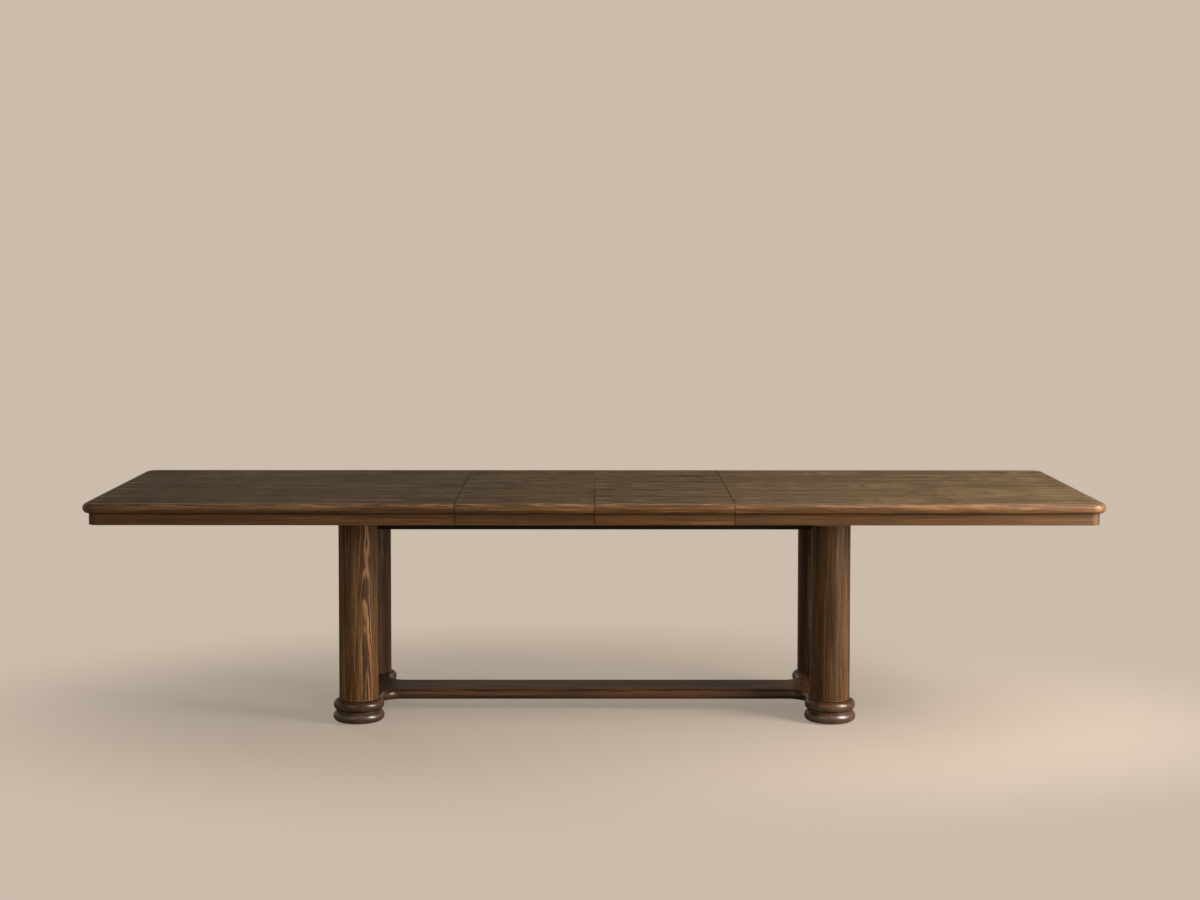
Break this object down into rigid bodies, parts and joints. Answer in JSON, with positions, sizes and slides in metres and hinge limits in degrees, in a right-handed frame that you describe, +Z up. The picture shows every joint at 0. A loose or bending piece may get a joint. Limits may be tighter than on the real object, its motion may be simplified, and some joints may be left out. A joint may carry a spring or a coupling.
{
  "type": "extending dining table",
  "caption": "Long extending dining table in dark stained oak: end halves slide apart on runners so loose leaves lift out; turned columns on end plates with a low stretcher.",
  "frame": {"origin": "on the floor under the middle of the table", "axes": "+X along the table, +Y towards its rear long side, +Z up"},
  "size_m": [3.3, 1.05, 0.765],
  "materials": {
    "apron_oak": "dark stained oak, satin lacquer",
    "black_enamel": "black enamel",
    "black_stained_wood": "black stained wood",
    "edging_oak": "dark stained solid oak edging, satin lacquer",
    "gear_steel": "machined steel",
    "glide_nylon": "dark nylon",
    "plain_beech": "plain unfinished beech",
    "plate_oak": "dark stained oak, satin lacquer",
    "top_veneer": "dark stained open-grained oak veneer, satin lacquer",
    "turned_oak": "dark stained turned oak, satin lacquer",
    "zinc_steel": "zinc plated steel"
  },
  "bodies": {
    "root": {"bearer_left": "plain_beech", "bearer_right": "plain_beech", "column_front_left": "turned_oak", "column_front_right": "turned_oak", "column_rear_left": "turned_oak", "column_rear_right": "turned_oak", "cross_rail": "plain_beech", "end_plate_left": "plate_oak", "end_plate_right": "plate_oak", "floor_glides": "glide_nylon", "foot_front_left": "turned_oak", "foot_front_right": "turned_oak", "foot_rear_left": "turned_oak", "foot_rear_right": "turned_oak", "frame_screws": "zinc_steel", "long_rail_front": "black_stained_wood", "long_rail_rear": "black_stained_wood", "pinion_axle": "gear_steel", "pinion_retainers": "gear_steel", "rack_keepers": "plain_beech", "runner_guides": "plain_beech", "stretcher": "plate_oak", "stretcher_dowels": "plain_beech", "tie_rod_fixings": "zinc_steel", "tie_rods": "zinc_steel"},
    "left_top": {"left_latch_pivots": "zinc_steel", "left_rack": "gear_steel", "left_rack_hanger": "plain_beech", "left_runners": "plain_beech", "left_top_apron": "apron_oak", "left_top_corner_blocks": "plain_beech", "left_top_edging": "edging_oak", "left_top_panel": "top_veneer", "left_top_screws": "zinc_steel"},
    "right_top": {"right_latch_pivots": "zinc_steel", "right_rack": "gear_steel", "right_rack_hanger": "plain_beech", "right_runners": "plain_beech", "right_top_apron": "apron_oak", "right_top_corner_blocks": "plain_beech", "right_top_edging": "edging_oak", "right_top_panel": "top_veneer", "right_top_screws": "zinc_steel"},
    "leaf_left": {"leaf_left_aprons": "apron_oak", "leaf_left_cleats": "plain_beech", "leaf_left_edging": "edging_oak", "leaf_left_latch_fittings": "zinc_steel", "leaf_left_panel": "top_veneer"},
    "leaf_right": {"leaf_right_aprons": "apron_oak", "leaf_right_cleats": "plain_beech", "leaf_right_edging": "edging_oak", "leaf_right_latch_fittings": "zinc_steel", "leaf_right_panel": "top_veneer"},
    "pinion": {"pinion": "gear_steel"},
    "latch_left_front": {"latch_left_front": "black_enamel"},
    "latch_left_rear": {"latch_left_rear": "black_enamel"},
    "latch_middle_front": {"latch_middle_front": "black_enamel"},
    "latch_middle_rear": {"latch_middle_rear": "black_enamel"},
    "latch_right_front": {"latch_right_front": "black_enamel"},
    "latch_right_rear": {"latch_right_rear": "black_enamel"}
  },
  "joints": [
    {"name": "left_top_slide", "type": "slide", "parent": "root", "child": "left_top", "axis": [-1, 0, 0], "range_m": [0, 0.06]},
    {"name": "right_top_slide", "type": "slide", "parent": "root", "child": "right_top", "axis": [1, 0, 0], "range_m": [0, 0.06]},
    {"name": "pinion_spin", "type": "hinge", "parent": "root", "child": "pinion", "pos_m": [0, 0, 0.709], "axis": [0, 0, 1], "range_deg": [-130, 0]},
    {"name": "leaf_left_lift", "type": "slide", "parent": "root", "child": "leaf_left", "axis": [0, 0, 1], "range_m": [0, 0.4]},
    {"name": "leaf_right_lift", "type": "slide", "parent": "root", "child": "leaf_right", "axis": [0, 0, 1], "range_m": [0, 0.4]},
    {"name": "latch_left_front_swing", "type": "hinge", "parent": "left_top", "child": "latch_left_front", "pos_m": [-0.492, -0.34997, 0.725], "axis": [0, 0, -1], "range_deg": [0, 90]},
    {"name": "latch_left_rear_swing", "type": "hinge", "parent": "left_top", "child": "latch_left_rear", "pos_m": [-0.492, 0.34997, 0.725], "axis": [0, 0, 1], "range_deg": [0, 90]},
    {"name": "latch_middle_front_swing", "type": "hinge", "parent": "leaf_left", "child": "latch_middle_front", "pos_m": [-0.042, -0.34997, 0.725], "axis": [0, 0, -1], "range_deg": [0, 90]},
    {"name": "latch_middle_rear_swing", "type": "hinge", "parent": "leaf_left", "child": "latch_middle_rear", "pos_m": [-0.042, 0.34997, 0.725], "axis": [0, 0, 1], "range_deg": [0, 90]},
    {"name": "latch_right_front_swing", "type": "hinge", "parent": "right_top", "child": "latch_right_front", "pos_m": [0.492, -0.34997, 0.725], "axis": [0, 0, 1], "range_deg": [0, 90]},
    {"name": "latch_right_rear_swing", "type": "hinge", "parent": "right_top", "child": "latch_right_rear", "pos_m": [0.492, 0.34997, 0.725], "axis": [0, 0, -1], "range_deg": [0, 90]}
  ],
  "couplings": [
    {"joint": "right_top_slide", "follows": "left_top_slide", "ratio": 1},
    {"joint": "pinion_spin", "follows": "left_top_slide", "rad_per_m": -37.037}
  ]
}
